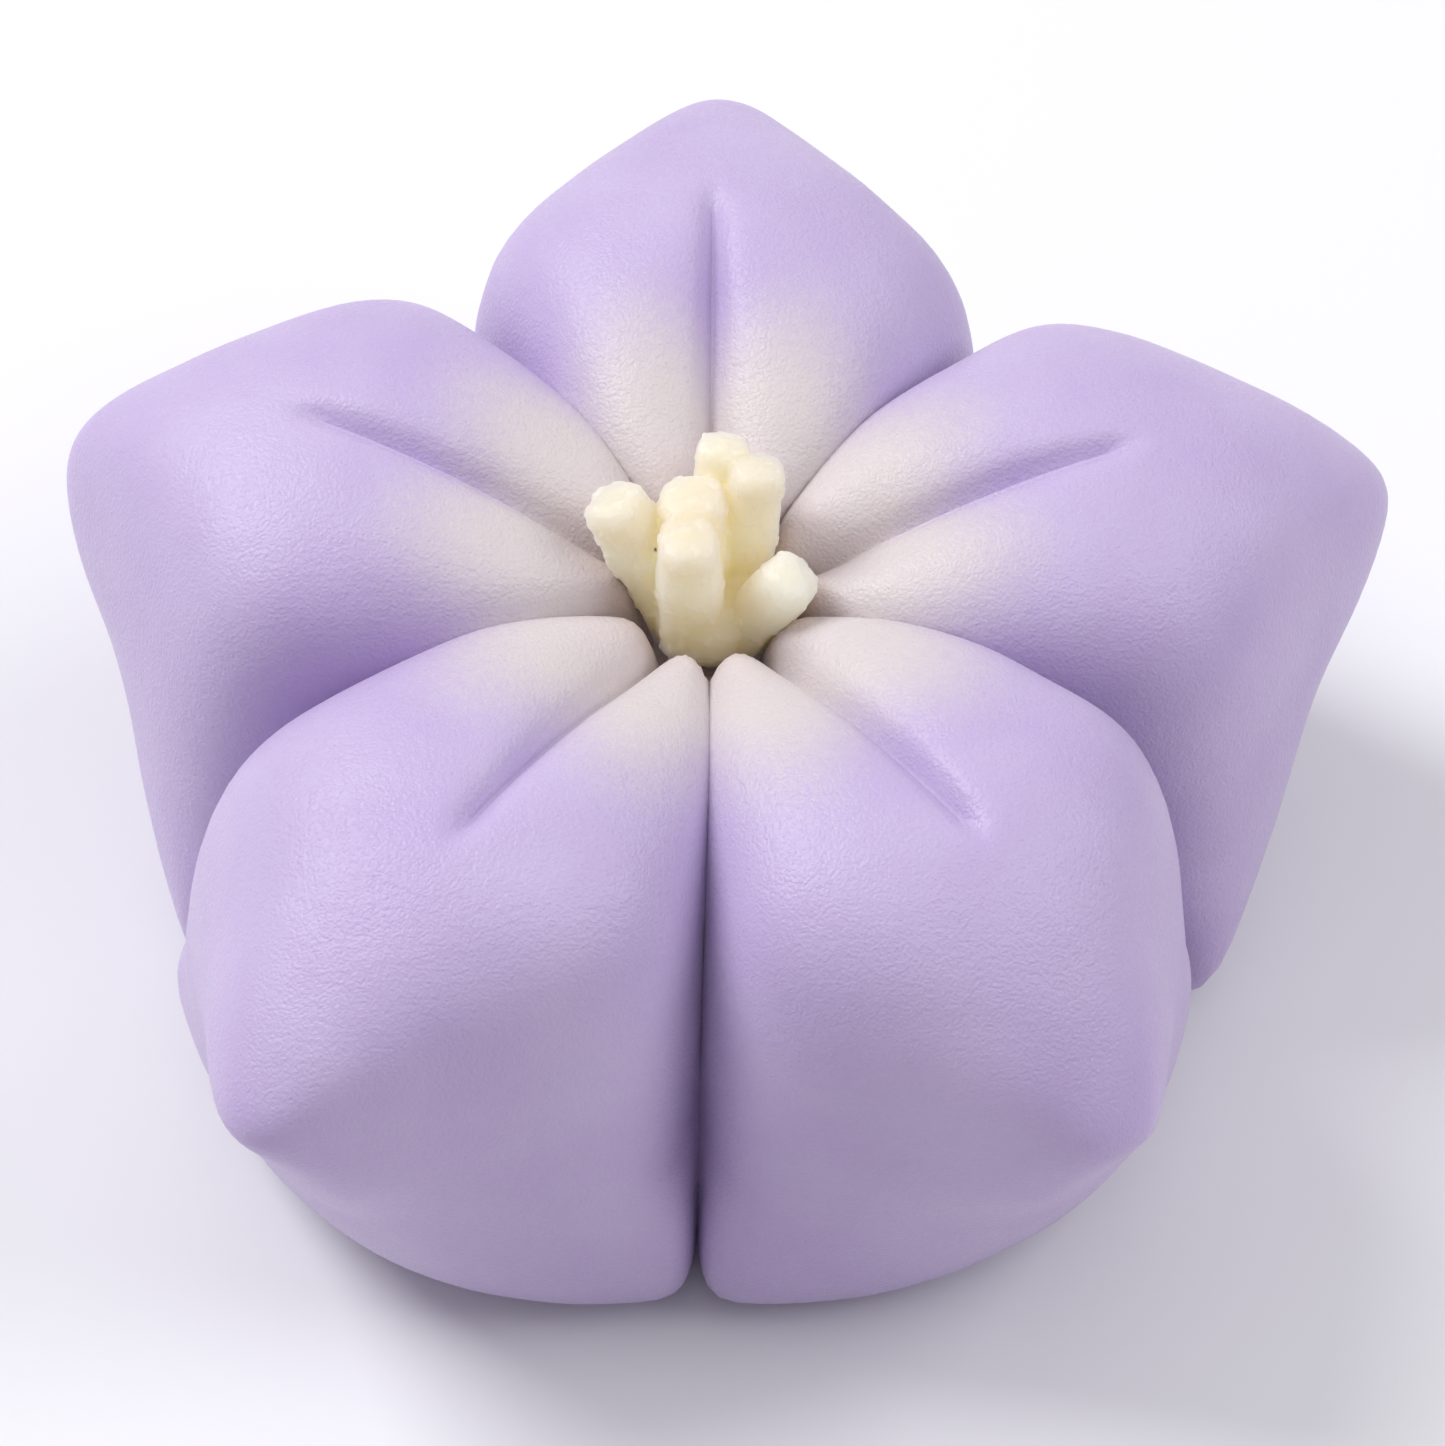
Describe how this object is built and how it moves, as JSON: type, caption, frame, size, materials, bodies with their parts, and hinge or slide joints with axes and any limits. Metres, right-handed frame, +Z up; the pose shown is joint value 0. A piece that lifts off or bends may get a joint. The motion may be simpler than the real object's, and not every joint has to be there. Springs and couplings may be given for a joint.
{
  "type": "bellflower-shaped bean paste sweet",
  "caption": "Hand-shaped sweet of lilac bean paste in the form of a bellflower, with creased petals, a white centre and a tuft of pale yellow stamens.",
  "frame": {"origin": "where the flower's upright axis meets the flat base", "axes": "+Z up out of the flower; -Y towards the groove between the two front petals, +Y along the crease of the back petal"},
  "size_m": [0.05, 0.0487, 0.0237],
  "materials": {
    "lilac_paste": "soft smooth bean paste, lilac fading to creamy white round the middle, with a faint damp sheen",
    "yellow_paste": "moist pale yellow bean paste pressed through a coarse sieve, slightly translucent"
  },
  "bodies": {
    "root": {"flower": "lilac_paste", "stamens": "yellow_paste"}
  },
  "joints": []
}
